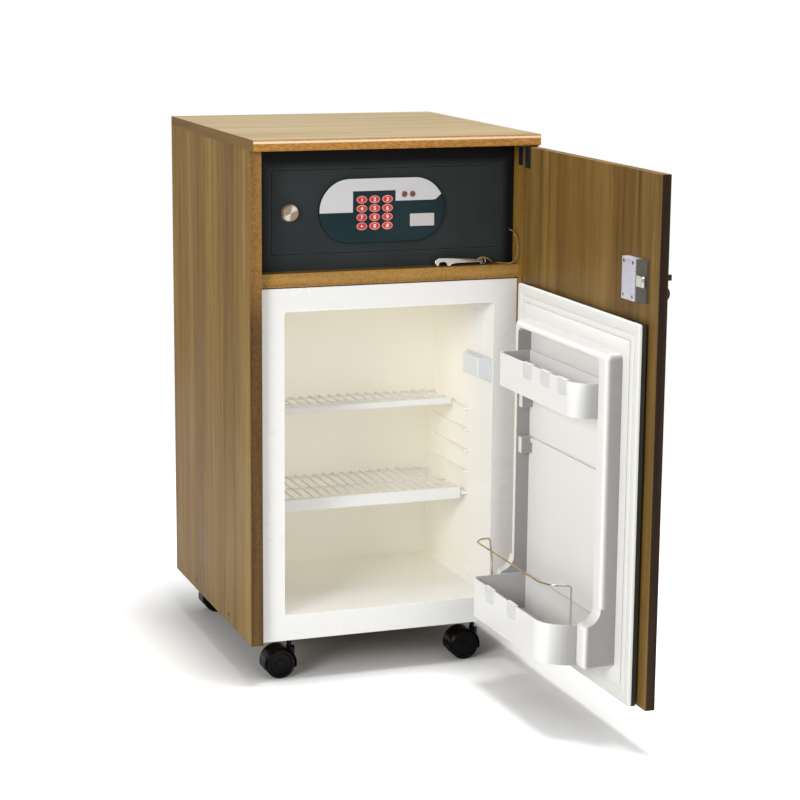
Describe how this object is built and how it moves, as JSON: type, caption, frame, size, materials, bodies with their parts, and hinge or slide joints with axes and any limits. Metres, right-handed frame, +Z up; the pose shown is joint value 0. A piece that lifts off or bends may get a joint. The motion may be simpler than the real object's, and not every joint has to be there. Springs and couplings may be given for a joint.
{
  "type": "hotel minibar cabinet",
  "caption": "Wooden cabinet on casters with an electronic safe above a small absorption fridge whose door is fixed inside the cabinet door.",
  "frame": {"origin": "on the floor under the middle of the carcass", "axes": "+Z up, +X to the right seen from the front, +Y from the front to the back; the door opens to -Y"},
  "size_m": [0.5203, 0.9727, 0.888],
  "materials": {
    "carcass_veneer": "walnut veneer, satin lacquer",
    "top_veneer": "lighter walnut veneer, satin lacquer",
    "back_board": "plain hardboard",
    "safe_paint": "charcoal powder coat",
    "fascia_plastic": "fine texture",
    "keypad_red": "soft matte",
    "lamp_lens": "tinted, glossy",
    "silver_plastic": "silver grey, satin",
    "knob_metal": "turned, satin",
    "bright_steel": "zinc plated",
    "black_steel": "black, semi-gloss",
    "white_enamel": "white, semi-gloss",
    "white_plastic": "moulded, satin",
    "shelf_coating": "white coated wire",
    "lamp_cover": "translucent",
    "cooling_steel": "black enamelled tube",
    "caster_black": "moulded nylon",
    "lock_silver": "satin die casting",
    "bolt_nickel": "nickel plated",
    "key_black": "moulded",
    "door_skin": "grey-green lacquer",
    "seal_white": "soft white seal",
    "clip_clear": "clear moulding",
    "guard_wire": "warm chromed wire",
    "opener_metal": "chrome, black head",
    "cord_gold": "thin twisted cord"
  },
  "bodies": {
    "cabinet": {"top_panel": "top_veneer", "left_side_panel": "carcass_veneer", "right_side_panel": "carcass_veneer", "bottom_panel": "carcass_veneer", "safe_shelf": "carcass_veneer", "back_panel": "back_board", "side_screws": "bright_steel", "strike_plate": "bright_steel", "hinge_brackets": "black_steel", "safe_body": "safe_paint", "fridge_housing": "white_enamel", "fridge_liner": "white_plastic", "upper_shelf": "shelf_coating", "lower_shelf": "shelf_coating", "lamp_box": "lamp_cover", "cooling_unit": "cooling_steel", "bottle_opener": "opener_metal", "opener_cord": "cord_gold"},
    "cabinet_door": {"door_panel": "carcass_veneer", "door_hinge_leaves": "black_steel", "door_screws": "bright_steel", "lock_case": "lock_silver", "lock_cylinder": "bright_steel", "fridge_door_skin": "door_skin", "fridge_door_liner": "white_plastic", "door_gasket": "seal_white", "upper_balcony": "white_plastic", "lower_balcony": "white_plastic", "bottle_clips": "clip_clear", "wire_guard": "guard_wire", "door_fixings": "white_plastic"},
    "door_key": {"key": "key_black"},
    "door_bolt": {"lock_bolt": "bolt_nickel"},
    "safe_door_body": {"safe_door": "safe_paint", "safe_door_cover": "safe_paint", "keypad_fascia": "fascia_plastic", "safe_leds": "lamp_lens", "lock_cover": "silver_plastic"},
    "knob": {"safe_knob": "knob_metal"},
    "safe_bolt_set": {"safe_bolts": "bright_steel"},
    "key_left_corner_body": {"key_left_corner": "keypad_red"},
    "key_0_body": {"key_0": "keypad_red"},
    "key_right_corner_body": {"key_right_corner": "keypad_red"},
    "key_7_body": {"key_7": "keypad_red"},
    "key_8_body": {"key_8": "keypad_red"},
    "key_9_body": {"key_9": "keypad_red"},
    "key_4_body": {"key_4": "keypad_red"},
    "key_5_body": {"key_5": "keypad_red"},
    "key_6_body": {"key_6": "keypad_red"},
    "key_1_body": {"key_1": "keypad_red"},
    "key_2_body": {"key_2": "keypad_red"},
    "key_3_body": {"key_3": "keypad_red"},
    "front_left_swivel": {"front_left_caster_hood": "caster_black"},
    "front_left_wheels": {"front_left_caster_wheels": "caster_black"},
    "front_right_swivel": {"front_right_caster_hood": "caster_black"},
    "front_right_wheels": {"front_right_caster_wheels": "caster_black"},
    "rear_left_swivel": {"rear_left_caster_hood": "caster_black"},
    "rear_left_wheels": {"rear_left_caster_wheels": "caster_black"},
    "rear_right_swivel": {"rear_right_caster_hood": "caster_black"},
    "rear_right_wheels": {"rear_right_caster_wheels": "caster_black"}
  },
  "joints": [
    {"name": "cabinet_door_hinge", "type": "hinge", "parent": "cabinet", "child": "cabinet_door", "pos_m": [0.231, -0.2576, 0.47], "axis": [0, 0, 1], "range_deg": [-90.9, 19.1]},
    {"name": "key_turn", "type": "hinge", "parent": "cabinet_door", "child": "door_key", "pos_m": [0.23738, -0.66355, 0.7095], "axis": [0.9999, 0.0157, 0], "range_deg": [0, 90]},
    {"name": "door_bolt_slide", "type": "slide", "parent": "cabinet_door", "child": "door_bolt", "axis": [0.0157, -0.9999, 0], "range_m": [0, 0.016]},
    {"name": "safe_door_hinge", "type": "hinge", "parent": "cabinet", "child": "safe_door_body", "pos_m": [0.1888, -0.2065, 0.76745], "axis": [0, 0, 1], "range_deg": [0, 90]},
    {"name": "safe_knob_turn", "type": "hinge", "parent": "safe_door_body", "child": "knob", "pos_m": [-0.1637, -0.209, 0.76745], "axis": [0, -1, 0], "range_deg": [0, 90]},
    {"name": "safe_bolt_slide", "type": "slide", "parent": "safe_door_body", "child": "safe_bolt_set", "axis": [-1, 0, 0], "range_m": [0, 0.012]},
    {"name": "key_left_corner_press", "type": "slide", "parent": "safe_door_body", "child": "key_left_corner_body", "axis": [0, 1, 0], "range_m": [0, 0.001], "stiffness_N_per_m": 250},
    {"name": "key_0_press", "type": "slide", "parent": "safe_door_body", "child": "key_0_body", "axis": [0, 1, 0], "range_m": [0, 0.001], "stiffness_N_per_m": 250},
    {"name": "key_right_corner_press", "type": "slide", "parent": "safe_door_body", "child": "key_right_corner_body", "axis": [0, 1, 0], "range_m": [0, 0.001], "stiffness_N_per_m": 250},
    {"name": "key_7_press", "type": "slide", "parent": "safe_door_body", "child": "key_7_body", "axis": [0, 1, 0], "range_m": [0, 0.001], "stiffness_N_per_m": 250},
    {"name": "key_8_press", "type": "slide", "parent": "safe_door_body", "child": "key_8_body", "axis": [0, 1, 0], "range_m": [0, 0.001], "stiffness_N_per_m": 250},
    {"name": "key_9_press", "type": "slide", "parent": "safe_door_body", "child": "key_9_body", "axis": [0, 1, 0], "range_m": [0, 0.001], "stiffness_N_per_m": 250},
    {"name": "key_4_press", "type": "slide", "parent": "safe_door_body", "child": "key_4_body", "axis": [0, 1, 0], "range_m": [0, 0.001], "stiffness_N_per_m": 250},
    {"name": "key_5_press", "type": "slide", "parent": "safe_door_body", "child": "key_5_body", "axis": [0, 1, 0], "range_m": [0, 0.001], "stiffness_N_per_m": 250},
    {"name": "key_6_press", "type": "slide", "parent": "safe_door_body", "child": "key_6_body", "axis": [0, 1, 0], "range_m": [0, 0.001], "stiffness_N_per_m": 250},
    {"name": "key_1_press", "type": "slide", "parent": "safe_door_body", "child": "key_1_body", "axis": [0, 1, 0], "range_m": [0, 0.001], "stiffness_N_per_m": 250},
    {"name": "key_2_press", "type": "slide", "parent": "safe_door_body", "child": "key_2_body", "axis": [0, 1, 0], "range_m": [0, 0.001], "stiffness_N_per_m": 250},
    {"name": "key_3_press", "type": "slide", "parent": "safe_door_body", "child": "key_3_body", "axis": [0, 1, 0], "range_m": [0, 0.001], "stiffness_N_per_m": 250},
    {"name": "front_left_caster_swivel", "type": "hinge", "parent": "cabinet", "child": "front_left_swivel", "pos_m": [-0.162, -0.197, 0.07], "axis": [0, 0, 1], "continuous": true},
    {"name": "front_left_wheel_spin", "type": "hinge", "parent": "front_left_swivel", "child": "front_left_wheels", "pos_m": [-0.181, -0.197, 0.025], "axis": [0, 1, 0], "continuous": true},
    {"name": "front_right_caster_swivel", "type": "hinge", "parent": "cabinet", "child": "front_right_swivel", "pos_m": [0.162, -0.197, 0.07], "axis": [0, 0, 1], "continuous": true},
    {"name": "front_right_wheel_spin", "type": "hinge", "parent": "front_right_swivel", "child": "front_right_wheels", "pos_m": [0.143, -0.197, 0.025], "axis": [0, 1, 0], "continuous": true},
    {"name": "rear_left_caster_swivel", "type": "hinge", "parent": "cabinet", "child": "rear_left_swivel", "pos_m": [-0.162, 0.197, 0.07], "axis": [0, 0, 1], "continuous": true},
    {"name": "rear_left_wheel_spin", "type": "hinge", "parent": "rear_left_swivel", "child": "rear_left_wheels", "pos_m": [-0.181, 0.197, 0.025], "axis": [0, 1, 0], "continuous": true},
    {"name": "rear_right_caster_swivel", "type": "hinge", "parent": "cabinet", "child": "rear_right_swivel", "pos_m": [0.162, 0.197, 0.07], "axis": [0, 0, 1], "continuous": true},
    {"name": "rear_right_wheel_spin", "type": "hinge", "parent": "rear_right_swivel", "child": "rear_right_wheels", "pos_m": [0.143, 0.197, 0.025], "axis": [0, 1, 0], "continuous": true}
  ],
  "couplings": [
    {"joint": "key_turn", "follows": "door_bolt_slide", "rad_per_m": 98.175},
    {"joint": "safe_knob_turn", "follows": "safe_bolt_slide", "rad_per_m": 130.9}
  ]
}
